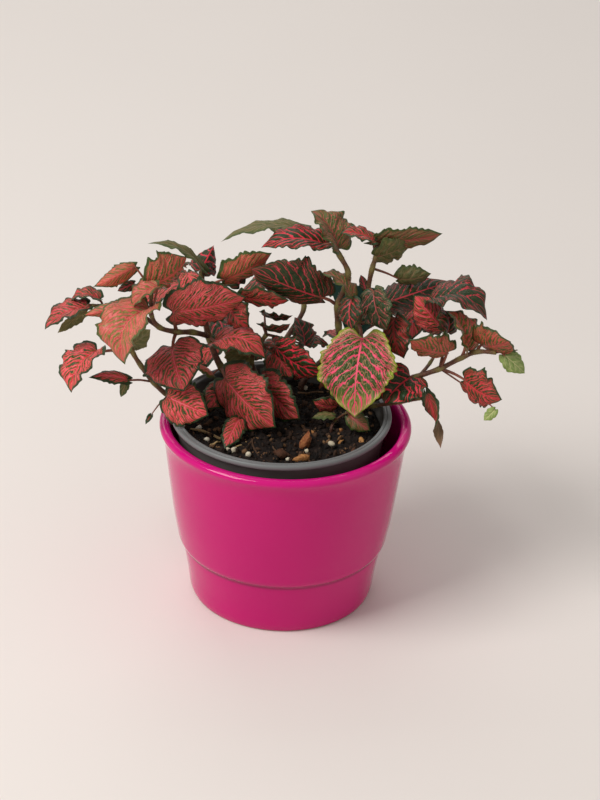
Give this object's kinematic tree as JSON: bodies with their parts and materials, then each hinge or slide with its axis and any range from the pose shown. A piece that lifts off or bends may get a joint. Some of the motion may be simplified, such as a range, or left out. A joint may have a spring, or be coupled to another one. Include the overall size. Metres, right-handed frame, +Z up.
{
  "type": "potted nerve plant",
  "caption": "Bushy nerve plant with red-veined, wavy leaves on trailing stems, in a plastic nursery pot set inside a glazed magenta cover pot.",
  "frame": {"origin": "centre of the cover pot's flat base, on the surface it stands on", "axes": "+Z up, +X towards the right of the picture, -Y towards its camera"},
  "size_m": [0.2563, 0.1688, 0.2132],
  "materials": {
    "magenta_glaze": "glossy glaze",
    "grey_plastic": "satin",
    "potting_soil": "rough peat with bark and perlite",
    "label_card": "satin",
    "ruby_foliage": "soft sheen, red net of veins on green",
    "maroon_foliage": "soft sheen, brown-red with olive",
    "dark_foliage": "soft sheen, near-black green with thin red veins",
    "lime_foliage": "soft sheen, lime edge with pink-red veins"
  },
  "bodies": {
    "root": {"cover_pot": "magenta_glaze", "nursery_pot": "grey_plastic", "soil": "potting_soil", "plant_label": "label_card", "left_shoot": "ruby_foliage", "low_left_shoot": "ruby_foliage", "centre_shoot": "maroon_foliage", "tall_shoot": "dark_foliage", "tall_right_shoot": "lime_foliage", "right_shoot": "ruby_foliage", "low_right_shoot": "maroon_foliage", "sprig": "maroon_foliage", "back_left_shoot": "ruby_foliage", "back_centre_shoot": "dark_foliage", "back_right_shoot": "ruby_foliage"}
  },
  "joints": []
}
